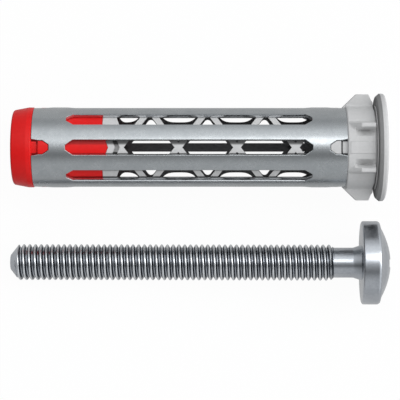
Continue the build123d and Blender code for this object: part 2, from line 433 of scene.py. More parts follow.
zincSleeveLook = {
    "darker": (0.42, 0.445, 0.46),
    "lighter": (0.51, 0.535, 0.55),
    "between": (0.3, 0.7),
    "patchScale": 700.0,
    "speckScale": 3200.0,
    "speckShare": 0.5,
    "roughness": (0.30, 0.26),
    "metallic": 1.0,
    "bump": 0.12,
    "bumpDepth": 0.01,
}
screwZincLook = {
    "darker": (0.45, 0.475, 0.51),
    "lighter": (0.57, 0.595, 0.63),
    "between": (0.35, 0.65),
    "patchScale": 260.0,
    "speckScale": 3000.0,
    "speckShare": 0.3,
    "roughness": (0.26, 0.20),
    "metallic": 1.0,
    "bump": 0.0,
    "bumpDepth": 0.01,
}
bushSteelLook = {
    "darker": (0.45, 0.46, 0.48),
    "lighter": (0.60, 0.61, 0.63),
    "between": (0.35, 0.65),
    "patchScale": 300.0,
    "speckScale": 2500.0,
    "speckShare": 0.4,
    "roughness": (0.40, 0.32),
    "metallic": 1.0,
    "bump": 0.2,
    "bumpDepth": 0.02,
}
redPlasticLook = {
    "darker": (0.80, 0.006, 0.006),
    "lighter": (0.88, 0.009, 0.009),
    "between": (0.3, 0.7),
    "patchScale": 200.0,
    "speckScale": 2200.0,
    "speckShare": 0.5,
    "roughness": (0.46, 0.36),
    "metallic": 0.0,
    "bump": 0.15,
    "bumpDepth": 0.02,
    "shader": {"Subsurface Weight": 0.08, "Subsurface Scale": 0.0008, "Specular IOR Level": 0.3},
}
greyPlasticLook = {
    "darker": (0.64, 0.64, 0.64),
    "lighter": (0.71, 0.71, 0.71),
    "between": (0.3, 0.7),
    "patchScale": 240.0,
    "speckScale": 2400.0,
    "speckShare": 0.5,
    "roughness": (0.58, 0.48),
    "metallic": 0.0,
    "bump": 0.2,
    "bumpDepth": 0.02,
    "shader": {"Specular IOR Level": 0.25},
}
# painted deep shade: a dark copy of the grey plastic for what faces the lattice's inside
paintedShadeInsideLook = dict(
    greyPlasticLook,
    darker=(0.08, 0.08, 0.083),
    lighter=(0.11, 0.11, 0.113),
)
# painted shade: the flange's underside is a darker copy of the grey plastic, and dull
underPaintedShadeLook = dict(
    greyPlasticLook,
    darker=(0.38, 0.38, 0.38),
    lighter=(0.44, 0.44, 0.44),
    roughness=(0.85, 0.8),
    shader={"Specular IOR Level": 0.0},
)
# painted shade on the thread's flanks and painted highlight on its crests, as darker and lighter
# copies of the screw's zinc
flankPaintedShadeLook = dict(
    screwZincLook,
    darker=(0.12, 0.13, 0.145),
    lighter=(0.20, 0.21, 0.23),
)
crestPaintedHighlightLook = dict(
    screwZincLook,
    darker=(0.66, 0.69, 0.72),
    lighter=(0.76, 0.78, 0.80),
)
# the sheet's stamped edges are smoother and brighter than its faces
cutZincLook = dict(
    zincSleeveLook,
    darker=(0.58, 0.60, 0.62),
    lighter=(0.68, 0.70, 0.72),
    roughness=(0.22, 0.18),
    bump=0.0,
)
zincSleeve = surfaceOf("zincSleeve", zincSleeveLook)
screwZinc = surfaceOf("screwZinc", screwZincLook)
flankPaintedShade = surfaceOf("flankPaintedShade", flankPaintedShadeLook)
crestPaintedHighlight = surfaceOf("crestPaintedHighlight", crestPaintedHighlightLook)
cutZinc = surfaceOf("cutZinc", cutZincLook)
paintedShadeInside = surfaceOf("paintedShadeInside", paintedShadeInsideLook)
underPaintedShade = surfaceOf("underPaintedShade", underPaintedShadeLook)
bushSteel = surfaceOf("bushSteel", bushSteelLook)
redPlastic = surfaceOf("redPlastic", redPlasticLook)
greyPlastic = surfaceOf("greyPlastic", greyPlasticLook)
# painted shade beside the slots on the lattice and on the red tube
latticePaintedSlotShade = surfaceOf("latticePaintedSlotShade", greyPlasticLook)
shadedAtSlots(latticePaintedSlotShade, slotShade["latticeLeft"])
redTubePaintedSlotShade = surfaceOf("redTubePaintedSlotShade", redPlasticLook)
shadedAtSlots(redTubePaintedSlotShade, slotShade["redLeft"])
print("materials ready")

# Sleeve: one quarter of the flat stamped sheet, which a node tree repeats, rolls up
# and gives its wall
sleeve = {
    "slotWidth": 2.05,
    "slotStart": 4.6,
    "slotLength": 33.3,
    "slotPoint": 1.0,
    "slotEndFlat": 0.67,
    "notchMouth": 2.25,
    "notchFlare": 1.0,
    "strutColumns": 12,
    "rowStart": 2.0,
    "rowStep": 2.6,
    "rows": 12,
    "merge": 0.001,
    "edge": 0.07,
}


def halfWidthAt(keys, height):
    # straight runs between (height, half width) pairs
    for (z0, w0), (z1, w1) in zip(keys, keys[1:]):
        if z0 <= height <= z1:
            return w0 + (w1 - w0) * (height - z0) / (z1 - z0)
    return keys[-1][1]


def flatQuarter():
    # two struts of the flat sheet: x runs round the tube, y along it
    length = anchor["sleeveLength"]
    slotEnd = sleeve["slotStart"] + sleeve["slotLength"]
    wide, flat = sleeve["slotWidth"] / 2, sleeve["slotEndFlat"] / 2
    notchEnd = anchor["notchDepth"]
    slotKeys = [
        (sleeve["slotStart"], flat),
        (sleeve["slotStart"] + sleeve["slotPoint"], wide),
        (slotEnd - sleeve["slotPoint"], wide),
        (slotEnd, flat),
    ]
    notchKeys = [
        (0, sleeve["notchMouth"] / 2),
        (sleeve["notchFlare"], anchor["notchWidth"] / 2),
        (notchEnd - anchor["notchPoint"], anchor["notchWidth"] / 2),
        (notchEnd, anchor["notchEndFlat"] / 2),
    ]
    farNotch = [(length - z, w) for z, w in reversed(notchKeys)]
    withNotch = notchKeys + slotKeys + farNotch
    plain = [(0, flat)] + slotKeys + [(length, flat)]
    closedWithNotch = ((notchEnd, slotKeys[0][0]), (slotKeys[-1][0], length - notchEnd))
    closedPlain = ((0, slotKeys[0][0]), (slotKeys[-1][0], length))
    # rows at every corner of the outlines, and between them so that no face is long
    heights = {round(z, 4) for z, _ in withNotch + plain}
    firstRow = sleeve["slotStart"] + sleeve["rowStart"]
    heights |= {round(firstRow + i * sleeve["rowStep"], 4) for i in range(sleeve["rows"])}
    heights = sorted(heights)
    quarter = 2 * pi * anchor["sleeveRadius"] / anchor["quarters"]
    columns = sleeve["strutColumns"]
    verts, faces = [], []
    for mirrored in (False, True):
        base = len(verts)
        for z in heights:
            near, far = halfWidthAt(withNotch, z), quarter / 2 - halfWidthAt(plain, z)
            xs = [0] + evenly(near, far, columns) + [quarter / 2]
            verts += [(quarter - x if mirrored else x, z, 0) for x in xs]
        inRow = columns + 3
        for i in range(len(heights) - 1):
            middle = (heights[i] + heights[i + 1]) / 2
            bridged = [any(a < middle < b for a, b in closedWithNotch)]
            bridged += [True] * columns
            bridged += [any(a < middle < b for a, b in closedPlain)]
            for j, made in enumerate(bridged):
                face = [base + i * inRow + j, base + i * inRow + j + 1]
                face += [base + (i + 1) * inRow + j + 1, base + (i + 1) * inRow + j]
                if made:
                    faces.append(face[::-1] if mirrored else face)
    return verts, faces


rollTree = treeOf(
    "rollUpSheet",
    "GeometryNodeTree",
    {
        "Sheet": "Geometry",
        "Count": 4,
        "Width": 8.64,
        "Radius": 5.5,
        "Wall": 0.6,
        "Material": "Material",
    },
    {"Sleeve": "Geometry"},
)
rollIn = addNode(rollTree, "NodeGroupInput").outputs
stepAside = addNode(rollTree, "ShaderNodeCombineXYZ", {"X": rollIn["Width"]})
sheetLine = addNode(rollTree, "GeometryNodeMeshLine",
                    {"Count": rollIn["Count"], "Offset": stepAside})
sheetCopies = addNode(rollTree, "GeometryNodeInstanceOnPoints",
                      {"Points": sheetLine, "Instance": rollIn["Sheet"]})
wholeSheet = addNode(rollTree, "GeometryNodeRealizeInstances", {"Geometry": sheetCopies})
flatPlace = addNode(rollTree, "GeometryNodeInputPosition")
flatParts = addNode(rollTree, "ShaderNodeSeparateXYZ", {"Vector": flatPlace}).outputs
rollAngle = calc(rollTree, "DIVIDE", flatParts["X"], rollIn["Radius"])
rolledX = calc(rollTree, "MULTIPLY", calc(rollTree, "COSINE", rollAngle), rollIn["Radius"])
rolledY = calc(rollTree, "MULTIPLY", calc(rollTree, "SINE", rollAngle), rollIn["Radius"])
rolledPlace = addNode(rollTree, "ShaderNodeCombineXYZ",
                      {"X": rolledX, "Y": rolledY, "Z": flatParts["Y"]})
rolled = addNode(rollTree, "GeometryNodeSetPosition",
                 {"Geometry": wholeSheet, "Position": rolledPlace})
seamed = addNode(rollTree, "GeometryNodeMergeByDistance",
                 {"Geometry": rolled, "Distance": sleeve["merge"]})
outerPlace = addNode(rollTree, "GeometryNodeInputPosition")
outerFlat = addNode(rollTree, "ShaderNodeVectorMath", {0: outerPlace, 1: (1.0, 1.0, 0.0)},
                    operation="MULTIPLY")
outerWay = addNode(rollTree, "ShaderNodeVectorMath", {0: outerFlat}, operation="NORMALIZE")
wallInward = calc(rollTree, "MULTIPLY", rollIn["Wall"], -1.0)
inward = addNode(rollTree, "ShaderNodeVectorMath", {0: outerWay, "Scale": wallInward},
                 operation="SCALE")
innerWall = addNode(rollTree, "GeometryNodeExtrudeMesh",
                    {"Mesh": seamed, "Offset": inward, "Individual": False})
innerTurned = addNode(rollTree, "GeometryNodeFlipFaces", {"Mesh": innerWall})
bothWalls = addNode(rollTree, "GeometryNodeJoinGeometry")
feed(rollTree, bothWalls.inputs[0], seamed)
feed(rollTree, bothWalls.inputs[0], innerTurned)
closedSleeve = addNode(rollTree, "GeometryNodeMergeByDistance",
                       {"Geometry": bothWalls, "Distance": sleeve["merge"]})
realSleeve = addNode(rollTree, "GeometryNodeRealizeInstances", {"Geometry": closedSleeve})
sleeveSkin = addNode(rollTree, "GeometryNodeSetMaterial",
                     {"Geometry": realSleeve, "Material": rollIn["Material"]})
addNode(rollTree, "NodeGroupOutput", {"Sleeve": sleeveSkin})

sheetVerts, sheetFaces = flatQuarter()
sleeveMesh = bpy.data.meshes.new("rolledSleeve")
sleeveMesh.from_pydata(sheetVerts, [], sheetFaces)
sleeveObject = newObject("rolledSleeve", sleeveMesh)
giveInputs(sleeveObject, rollTree, {
    "Count": anchor["quarters"],
    "Width": 2 * pi * anchor["sleeveRadius"] / anchor["quarters"],
    "Radius": anchor["sleeveRadius"],
    "Wall": anchor["sleeveWall"],
    "Material": zincSleeve,
})
applied(sleeveObject)
sleeveObject.data.transform(anchorPlace)
softenEdges(sleeveObject, sleeve["edge"])
roundNormals(sleeveObject, anchorPlace)
# the edges that the stamping left look aside
paintFacing(sleeveObject, anchorPlace, cutZinc, lookingAside)
settle(sleeveObject, ["sleeve"])

# Red tip: nose, rim and the tube that shows in the slots, with its snap tongues
tip = {
    "rim": 0.76,
    "cone": 2.11,
    "noseRadius": 5.1,
    "noseRounding": 0.35,
    "coneRounding": 0.3,
    "rimRounding": 0.16,
    "sleeveGap": 0.03,
    "tubeRounding": 0.05,
    "holeRounding": 0.15,
    "edge": 0.06,
}
tongue = {
    "overlap": 0.3,
    "neckLength": 0.9,
    "neckWidth": 1.6,
    "neckSink": 0.4,
    "step": 0.22,
    "stepRadius": 4.72,
    "stepSlant": 0.01,
    "foot": 4.6,
}


def seamRise(angle, radius):
    # how far the seam's point reaches up at a place of the tube
    off = abs(radius * sin(angle)) / (anchor["seamWidth"] / 2)
    return anchor["seamPoint"] * max(0.0, 1.0 - off)


def snapTongues(start, way):
    # four tongues, each a sunk neck and a head that fills the sleeve's end notch
    top = anchor["sleeveRadius"] - anchor["fit"]
    sunk = anchor["sleeveRadius"] - tongue["neckSink"]
    halfHead = anchor["notchWidth"] / 2 - anchor["tongueGap"]
    neck, slant = tongue["neckLength"], tongue["stepSlant"]
    end = anchor["notchDepth"] - anchor["tongueGap"]
    shoulder = anchor["notchDepth"] - anchor["notchPoint"]
    halfNeck = tongue["neckWidth"] / 2
    tipHalf = anchor["notchEndFlat"] / 2 - anchor["tongueGap"] / 2
    along = [
        (-tongue["overlap"], halfNeck, sunk),
        (neck - tongue["step"], halfNeck, sunk),
        (neck - tongue["step"] + slant, halfNeck, tongue["stepRadius"]),
        (neck, halfNeck, tongue["stepRadius"]),
        (neck + slant, halfHead, top),
        (shoulder, halfHead, top),
        (end, tipHalf, top),
    ]
    if way < 0:
        along = along[::-1]
    sections = [(start + way * z, half, high, tongue["foot"]) for z, half, high in along]
    turns = evenly(0, 2 * pi, anchor["quarters"])[:-1]
    return [stripPad(sections, turnBy=turnBy) for turnBy in turns]


tipNose = -(tip["rim"] + tip["cone"])
tipOutline = softCorners([
    (anchor["screwHole"], tipNose, tip["holeRounding"]),
    (tip["noseRadius"], tipNose, tip["noseRounding"]),
    (anchor["sleeveRadius"], -tip["rim"], tip["coneRounding"]),
    (anchor["sleeveRadius"], -tip["sleeveGap"], tip["rimRounding"]),
    (anchor["tubeRadius"], -tip["sleeveGap"], 0),
    (anchor["tubeRadius"], anchor["redLength"], tip["tubeRounding"]),
    (anchor["screwHole"], anchor["redLength"], 0),
])


def redSeam(angle, radius, height):
    if height > anchor["redLength"] / 2:
        height += seamRise(angle, radius)
    return radius, height


tipShells = [turned(tipOutline, rule=redSeam)] + snapTongues(0, 1)
tipObject = meshObject("redTip", *joinShells(*tipShells), anchorPlace, redPlastic)
softenEdges(tipObject, tip["edge"])
# painted shade beside the slots on the red tube
paintFacing(tipObject, anchorPlace, redTubePaintedSlotShade, lookingOut, anchor["notchDepth"])
roundNormals(tipObject, anchorPlace, within=2)
settle(tipObject, ["tip"])

# Lattice tube: crossing bars, straight in the front view because the mould pulls
# straight, after a start ring and with a spine and short ribs on the rear half
lattice = {
    "pitch": 7.9,
    "slope": 0.77,
    "bar": 0.97,
    "rearBar": 1.43,
    "barSteps": 40,
    "barLift": -0.006,
    "barShift": 0.036,
    "shiftBetween": (-0.5, -0.2),
    "crotchRounding": 0.53,
    "webSteps": 10,
    "webOverlap": 0.12,
    "webSink": 0.004,
    "crossings": 4,
    "first": 11.91,
    "ringEnd": 11.5,
    "ringOverlap": 0.1,
    "bandLength": 2.4,
    "bandOverlap": 0.3,
    "bandBright": 0.4,
    "grooveStart": 11.25,
    "grooveEnd": 11.9,
    "grooveLean": 0.4,
    "leanLimit": 1.2,
    "grooveReach": 2.6,
    "grooveFade": 0.4,
    "grooveDepth": 0.85,
    "grooveSlant": 0.04,
    "grooveBack": 0.2,
    "backMargin": 0.1,
    "backSlant": 0.25,
    "endReach": 13.0,
    "spineWidth": 1.2,
    "spineOverlap": 0.3,
    "ribAngle": 38.5,
    "ribRise": 1.13,
    "ribPower": 3.7,
    "ribSteps": 24,
    "ribOverlap": 0.2,
    "ribSink": 0.012,
    "ribMargin": 0.05,
    "ringFillet": 0.9,
    "sliver": 0.01,
}

latticeTree = treeOf(
    "crossingBars",
    "GeometryNodeTree",
    {
        "Bars": "Geometry",
        "Crossings": 4,
        "First": 11.9,
        "Pitch": 7.9,
        "Material": "Material",
    },
    {"Lattice": "Geometry"},
)
latticeIn = addNode(latticeTree, "NodeGroupInput").outputs
pitchStep = addNode(latticeTree, "ShaderNodeCombineXYZ", {"Z": latticeIn["Pitch"]})
firstPlace = addNode(latticeTree, "ShaderNodeCombineXYZ", {"Z": latticeIn["First"]})
crossingLine = addNode(latticeTree, "GeometryNodeMeshLine",
                       {"Count": latticeIn["Crossings"], "Start Location": firstPlace,
                        "Offset": pitchStep})
barCopies = addNode(latticeTree, "GeometryNodeInstanceOnPoints",
                    {"Points": crossingLine, "Instance": latticeIn["Bars"]})
realBars = addNode(latticeTree, "GeometryNodeRealizeInstances", {"Geometry": barCopies})
barSkin = addNode(latticeTree, "GeometryNodeSetMaterial",
                  {"Geometry": realBars, "Material": latticeIn["Material"]})
addNode(latticeTree, "NodeGroupOutput", {"Lattice": barSkin})


def crossingPair(way, base=0.0, low=bottomless):
    # two crossing bars on one half of the tube, reaching its parting line; nothing of
    # them lies below the low height
    shells = []
    outer, inner = anchor["tubeRadius"], anchor["tubeBore"]
    slope = lattice["slope"]
    half = lattice["bar" if way > 0 else "rearBar"] / 2
    # the second bar lies a hair lower, so that no two faces coincide
    for lean, lift in ((1, 0.0), (-1, lattice["barLift"])):
        rows = []
        for degrees in evenly(-90, 90, lattice["barSteps"]):
            y = outer * sin(radians(degrees))
            middle = base + lean * slope * y
            if middle + half < low + lattice["sliver"]:
                continue
            row = []
            for radius, side in ((outer + lift, -1), (outer + lift, 1), (inner, 1), (inner, -1)):
                # past the crossing, the bar lies a little further out
                away = 2 * ramped(side * lean * y, *lattice["shiftBetween"]) - 1
                edge = middle + side * (half + lattice["barShift"] * away)
                row.append((way * depthAt(radius, y), y, max(edge, low)))
            rows.append(row)
        shells.append(skinRows(rows))
    return shells


def crotchWebs(base):
    # the rounding where a rear crossing's bars meet the next one's, at both sides
    outer = anchor["tubeRadius"] - lattice["webSink"]
    inner = anchor["tubeBore"] + lattice["webSink"]
    slope = lattice["slope"]
    lean = atan2(slope, 1.0)
    meet = ((lattice["pitch"] - lattice["rearBar"]) / 2 - lattice["barShift"]) / slope
    rounding = lattice["crotchRounding"]
    centre = meet - rounding / sin(lean)
    reach = rounding * cos(lean)
    shells = []
    for side in (1, -1):
        rows = []
        for off in evenly(-reach, reach, lattice["webSteps"]):
            foot = centre + sqrt(rounding * rounding - off * off)
            top = max(meet - abs(off) / slope, foot) + lattice["webOverlap"]
            row = []
            for radius, ys in ((outer, (foot, top)), (inner, (top, foot))):
                row += [(-depthAt(radius, y), side * y, base + off) for y in ys]
            rows.append(row)
        shells.append(skinRows(rows))
    return shells


barShells = crossingPair(1) + crossingPair(-1)
barObject = meshObject("crossBars", *joinShells(*barShells), Matrix.Identity(4), latticePaintedSlotShade)
giveInputs(barObject, latticeTree, {
    "Crossings": lattice["crossings"] - 1,
    "First": lattice["first"] + lattice["pitch"],
    "Pitch": lattice["pitch"],
    "Material": latticePaintedSlotShade,
})
applied(barObject)
barObject.data.transform(anchorPlace)


def startRing():
    # the ring after the red tube: its seam end, V groove and slanting end follow the
    # same point on the front, while the rear is plain
    outer, inner = anchor["tubeRadius"], anchor["tubeBore"]
    sliver = lattice["sliver"]
    rows = []
    for angle in roundAngles:
        aside = abs(outer * sin(angle))
        low = anchor["redLength"] + anchor["fit"] + seamRise(angle, outer)
        front = cos(angle) > 0
        lean = lattice["grooveLean"] * aside
        fade = ramped(lattice["grooveReach"] - aside, 0.0, lattice["grooveFade"]) if front else 0.0
        floor = outer - lattice["grooveDepth"] * fade
        cutStart = lattice["grooveStart"] - min(lean, lattice["leanLimit"])
        cutEnd = lattice["grooveEnd"] - min(lean, lattice["leanLimit"])
        end = lattice["ringEnd"]
        if front:
            arms = lattice["first"] + aside * lattice["slope"]
            slanting = min(lattice["endReach"] - lean, arms)
            end = max(slanting, end - lattice["ringOverlap"], cutEnd + 2 * sliver)
        behind = min(inner, floor - lattice["grooveBack"])
        section = [
            (inner, low),
            (outer, low),
            (outer, cutStart),
            (floor, cutStart + lattice["grooveSlant"]),
            (floor, cutEnd - lattice["grooveSlant"]),
            (outer, cutEnd),
            (outer, end),
            (inner, end),
            (inner, min(cutEnd + lattice["backSlant"], end - sliver / 2)),
            (behind, min(cutEnd + lattice["backMargin"], end - sliver)),
            (behind, cutStart - lattice["backMargin"]),
            (inner, cutStart - lattice["backSlant"]),
        ]
        rows.append([(r * cos(angle), r * sin(angle), z) for r, z in section])
    return skinRows(rows, loopClosed=True)


ringShells = [startRing()]
ringShells += crossingPair(1, lattice["first"], lattice["first"])
ringShells += crossingPair(-1, lattice["first"], lattice["ringEnd"] - lattice["ringOverlap"])
for gap in range(lattice["crossings"] - 1):
    betweenHeight = lattice["first"] + (gap + 0.5) * lattice["pitch"]
    ringShells += crotchWebs(betweenHeight)
bandStart = anchor["sleeveLength"] - lattice["bandLength"]
bandEnd = anchor["sleeveLength"] + lattice["bandOverlap"]
ringShells.append(turned([
    (anchor["tubeBore"], bandStart),
    (anchor["tubeRadius"], bandStart),
    (anchor["tubeRadius"], bandEnd),
    (anchor["tubeBore"], bandEnd),
]))


def innerRibs():
    # the rear's spine, and the short ribs across the openings beside each crossing,
    # whose outer edges are straight in the middle and sweep up to the bars
    outer = anchor["tubeRadius"] - lattice["ribSink"]
    inner = anchor["tubeBore"] + lattice["ribSink"] / 2
    half, overlap = lattice["spineWidth"] / 2, lattice["spineOverlap"]
    ends = (lattice["ringEnd"] - overlap, bandStart + overlap)
    shells = [stripPad([(z, half, outer, inner) for z in ends], turnBy=pi)]
    place = anchor["tubeRadius"] * sin(radians(lattice["ribAngle"]))
    halfRib = half * cos(radians(lattice["ribAngle"]))
    slope = lattice["slope"]
    fillet = lattice["ringFillet"]
    reach = (place + halfRib) * slope
    for crossing in range(lattice["crossings"]):
        middle = lattice["first"] + crossing * lattice["pitch"]
        low, high = middle - reach, middle + reach
        if crossing == 0:
            low = lattice["ringEnd"] - lattice["ribOverlap"]
        for side in (1, -1):
            rows = []
            for z in evenly(low, high, lattice["ribSteps"]):
                share = abs(z - middle) / reach
                rise = lattice["ribRise"] * share ** lattice["ribPower"]
                if crossing == 0:
                    into = min(max(0.0, lattice["ringEnd"] + fillet - z), fillet)
                    rise = max(rise, fillet - sqrt(fillet * fillet - into * into))
                top = min(place + halfRib + rise, inner - lattice["ribMargin"])
                foot = place - halfRib
                across = (foot, (foot + top) / 2, top)
                row = []
                for radius, ys in ((outer, across), (inner, reversed(across))):
                    row += [(-depthAt(radius, y), side * y, z) for y in ys]
                rows.append(row)
            shells.append(skinRows(rows))
    return shells


ringShells += innerRibs()
ringObject = meshObject("latticeRings", *joinShells(*ringShells), anchorPlace, latticePaintedSlotShade)

# painted shade on what looks at the axis, and on the end band behind the sleeve's notches
shadedFrom = bandStart + lattice["bandBright"]
paintFacing(ringObject, anchorPlace, paintedShadeInside, lookingIn)
paintFacing(ringObject, anchorPlace, paintedShadeInside, lookingOut, shadedFrom)
paintFacing(barObject, anchorPlace, paintedShadeInside, lookingIn)
print("lattice ready")

# Collar with its fins, and flange, skinned over sections along the axis
collar = {
    "radius": 5.65,
    "length": 3.75,
    "chamfer": 0.15,
    "neckRadius": 5.2,
    "neckLength": 0.45,
    "neckRounding": 0.02,
    "ringRadius": 5.75,
    "ringStart": 0.2,
    "ringWidth": 0.17,
    "ringRounding": 0.04,
    "flangeRadius": 7.4,
    "flangeThickness": 1.13,
    "flangeRounding": 0.3,
    "faceTaper": 0.03,
    "holeRounding": 0.2,
    "rimTaper": 0.4,
    "rimRounding": 0.14,
    "rimCone": 0.47,
    "coneRounding": 0.05,
    "finRadius": 7.28,
    "finThickness": 1.5,
    "finLead": 0.35,
    "finRamp": 1.85,
    "finLand": 1.69,
    "finBackDrop": 1.08,
    "finBackEnd": 0.1,
    "finFoot": 4.8,
    "finOverlap": 0.05,
    "sideInner": 2.3,
    "sideStart": 3.15,
    "sideSwing": 0.95,
    "sideCrest": 2.79,
    "sideOuter": 3.29,
    "sideEdge": 0.02,
    "sideFoot": 3.54,
    "sideHeight": 5.95,
    "sideRise": 1.47,
    "sideRamp": 1.82,
    "scoopInner": 1.57,
    "scoopLength": 2.76,
    "scoopSetback": 1.42,
    "scoopDepth": 1.4,
    "scoopPower": 0.7,
    "padWidth": 1.69,
    "padStart": 0.35,
    "padRise": 0.06,
    "padSlant": 0.03,
    "finFillet": 0.3,
    "leastRise": 0.001,
    "filletShare": 0.9,
    "underStart": 0.1,
    "edge": 0.07,
}
# how many steps each stretch of the collar's outline has, and its scoops along the axis
collarSteps = {
    "pad": 4,
    "flank": 4,
    "scoop": 6,
    "round": 16,
    "fillet": 5,
    "finTop": 3,
    "along": 14,
}
collarStart = anchor["sleeveLength"]
collarEnd = collarStart + collar["length"]
flangeBase = collarEnd + collar["neckLength"]
flangeFace = flangeBase + collar["flangeThickness"]


def baseRadius(height):
    # the collar's round surface, with its chamfer at the sleeve
    rise = ramped(height, collarStart, collarStart + collar["chamfer"])
    return collar["radius"] - collar["chamfer"] * (1 - rise)


def finTop(height):
    # the tall fin: ramp, land and a back that falls to the collar's end
    rampEnd = collarStart - collar["finLead"] + collar["finRamp"]
    landEnd = rampEnd + collar["finLand"]
    rise = ramped(height, rampEnd - collar["finRamp"], rampEnd)
    top = anchor["sleeveRadius"] + (collar["finRadius"] - anchor["sleeveRadius"]) * rise
    drop = ramped(height, landEnd, collarEnd - collar["finBackEnd"])
    return top - collar["finBackDrop"] * drop


def sideTop(height):
    # the side fin's crest, measured straight out from the axis plane
    low = collar["sideHeight"] - collar["sideRise"]
    return low + collar["sideRise"] * ramped(height, collarStart, collarStart + collar["sideRamp"])


def sideLines(height):
    # the side fin's inner foot and crest, which swing in from the collar's edge
    lead = ramped(height, collarStart, collarStart + collar["sideSwing"])
    inner = collar["sideStart"] + (collar["sideInner"] - collar["sideStart"]) * lead
    crestStart = collar["sideOuter"] - collar["sideEdge"]
    return inner, crestStart + (collar["sideCrest"] - crestStart) * lead


def scoopAt(y, height):
    # lens-shaped hollow beside a side fin, deepest at the fin's foot
    across = ramped(y, collar["scoopInner"], collar["sideInner"])
    middle = collarEnd - collar["scoopSetback"]
    off = abs(height - middle) / (collar["scoopLength"] / 2)
    return collar["scoopDepth"] * across ** collar["scoopPower"] * max(0.0, 1 - off * off)


def quarterSection(height):
    # one quarter from the pad (x up) to the tall fin (y up), as (x, y) points
    r = baseRadius(height)
    pad = collar["padWidth"] / 2
    padX = depthAt(r, pad)
    if height > collarStart + collar["padStart"]:
        padX += collar["padRise"]
    points = [(padX, y) for y in evenly(0, pad - collar["padSlant"], collarSteps["pad"])]
    flank = evenly(pad, collar["scoopInner"], collarSteps["flank"])[:-1]
    points += [(depthAt(r, y), y) for y in flank]
    inner, crestY = sideLines(height)
    for y in evenly(collar["scoopInner"], inner, collarSteps["scoop"]):
        points.append((depthAt(r, y) - scoopAt(y, height), y))
    crest = sideTop(height)
    points.append((max(crest, depthAt(r, crestY)), crestY))
    points.append((max(crest, depthAt(r, collar["sideOuter"])), collar["sideOuter"]))
    points.append((depthAt(r, collar["sideFoot"]), collar["sideFoot"]))
    half, fillet = collar["finThickness"] / 2, collar["finFillet"]
    startAngle = atan2(collar["sideFoot"], depthAt(r, collar["sideFoot"]))
    endAngle = atan2(depthAt(r, half + fillet), half + fillet)
    for angle in evenly(startAngle, endAngle, collarSteps["round"])[1:]:
        points.append((r * cos(angle), r * sin(angle)))
    root = depthAt(r, half)
    top = max(finTop(height), root + collar["leastRise"])
    reach = min(fillet, (top - root) * collar["filletShare"])
    for angle in evenly(0, pi / 2, collarSteps["fillet"])[1:]:
        points.append((half + fillet * (1 - sin(angle)), root + reach * (1 - cos(angle))))
    return points + [(x, top) for x in evenly(half, 0, collarSteps["finTop"])]


def fullSection(quarter, height):
    # the quarter mirrored to the whole round, without doubling the points on the axes
    second = [(-x, y) for x, y in reversed(quarter[:-1])]
    upper = quarter + second
    lower = [(x, -y) for x, y in reversed(upper[1:-1])]
    return [(x, y, height) for x, y in upper + lower]


def roundSection(radius, height):
    # a plain circle with as many points, at the same angles, as the collar's end
    sample = fullSection(quarterSection(collarEnd), 0)
    angles = [atan2(y, x) for x, y, _ in sample]
    return [(radius * cos(a), radius * sin(a), height) for a in angles]


def collarShell():
    # the collar, its neck and ring, and the flange, down to the inside of the hole
    heights = {collarStart, collarStart + collar["chamfer"], collarEnd}
    rampEnd = collarStart - collar["finLead"] + collar["finRamp"]
    heights |= {rampEnd, rampEnd + collar["finLand"], collarStart + collar["sideRamp"]}
    heights.add(collarStart + collar["sideSwing"])
    padSlant = collar["padSlant"]
    heights |= {collarStart + collar["padStart"] + step for step in (-padSlant, padSlant)}
    middle = collarEnd - collar["scoopSetback"]
    half = collar["scoopLength"] / 2
    steps = collarSteps["along"] // 2
    heights |= {middle + half * i / steps for i in range(-steps, steps)}
    heights = [h for h in sorted(heights) if collarStart <= h <= collarEnd]
    rows = [fullSection(quarterSection(h), h) for h in heights]
    ringLow = collarEnd + collar["ringStart"]
    ringHigh = ringLow + collar["ringWidth"]
    rim = softCorners([
        (collar["neckRadius"], ringLow, 0),
        (collar["ringRadius"], ringLow, collar["ringRounding"]),
        (collar["ringRadius"], ringHigh, collar["ringRounding"]),
        (collar["neckRadius"], ringHigh, 0),
        (collar["neckRadius"], flangeBase, collar["neckRounding"]),
        (collar["flangeRadius"] - collar["rimTaper"], flangeBase, collar["rimRounding"]),
        (collar["flangeRadius"], flangeBase + collar["rimCone"], collar["coneRounding"]),
        (collar["flangeRadius"] - collar["faceTaper"], flangeFace, collar["flangeRounding"]),
        (anchor["screwHole"], flangeFace, collar["holeRounding"]),
        (anchor["screwHole"], collarStart, 0),
        (collar["neckRadius"], collarStart, 0),
    ])[:-1]
    rows.append(roundSection(collar["neckRadius"], collarEnd))
    rows += [roundSection(radius, height) for radius, height in rim]
    return skinRows(rows, loopClosed=True)


def finLeads():
    # the tall fins' noses, which start on the tongues inside the sleeve's notches
    shells = []
    half, foot = collar["finThickness"] / 2, collar["finFoot"]
    start = collarStart - collar["finLead"]
    for side in (1, -1):
        rows = []
        for height in (start, collarStart + collar["finOverlap"]):
            top = finTop(height)
            row = [(half, top), (0, top), (-half, top), (-half, foot), (half, foot)]
            rows.append([(side * x, side * y, height) for x, y in row])
        shells.append(skinRows(rows))
    return shells


collarObject = meshObject(
    "collarFlange",
    *joinShells(collarShell(), *finLeads(), *snapTongues(anchor["sleeveLength"], -1)),
    anchorPlace,
    greyPlastic,
)
softenEdges(collarObject, collar["edge"], segments=3, angle=25)
# painted shade on the flange's underside
paintFacing(collarObject, anchorPlace, underPaintedShade, lookingIn,
            collarEnd + collar["underStart"], alongAxis=True)

bpy.ops.object.select_all(action="DESELECT")
for part in (barObject, ringObject, collarObject):
    part.select_set(True)
bpy.context.view_layer.objects.active = collarObject
bpy.ops.object.join()
collarObject.name = "latticeAndFlange"
roundNormals(collarObject, anchorPlace, within=4)
settle(collarObject, ["plastic_body"])

# Threaded bush: the CAD node, hidden inside the tip
bushObject = frame["nodes"]["threaded_bush"]
bushObject.data.materials.clear()
bushObject.data.materials.append(bushSteel)
print("bush has its steel")

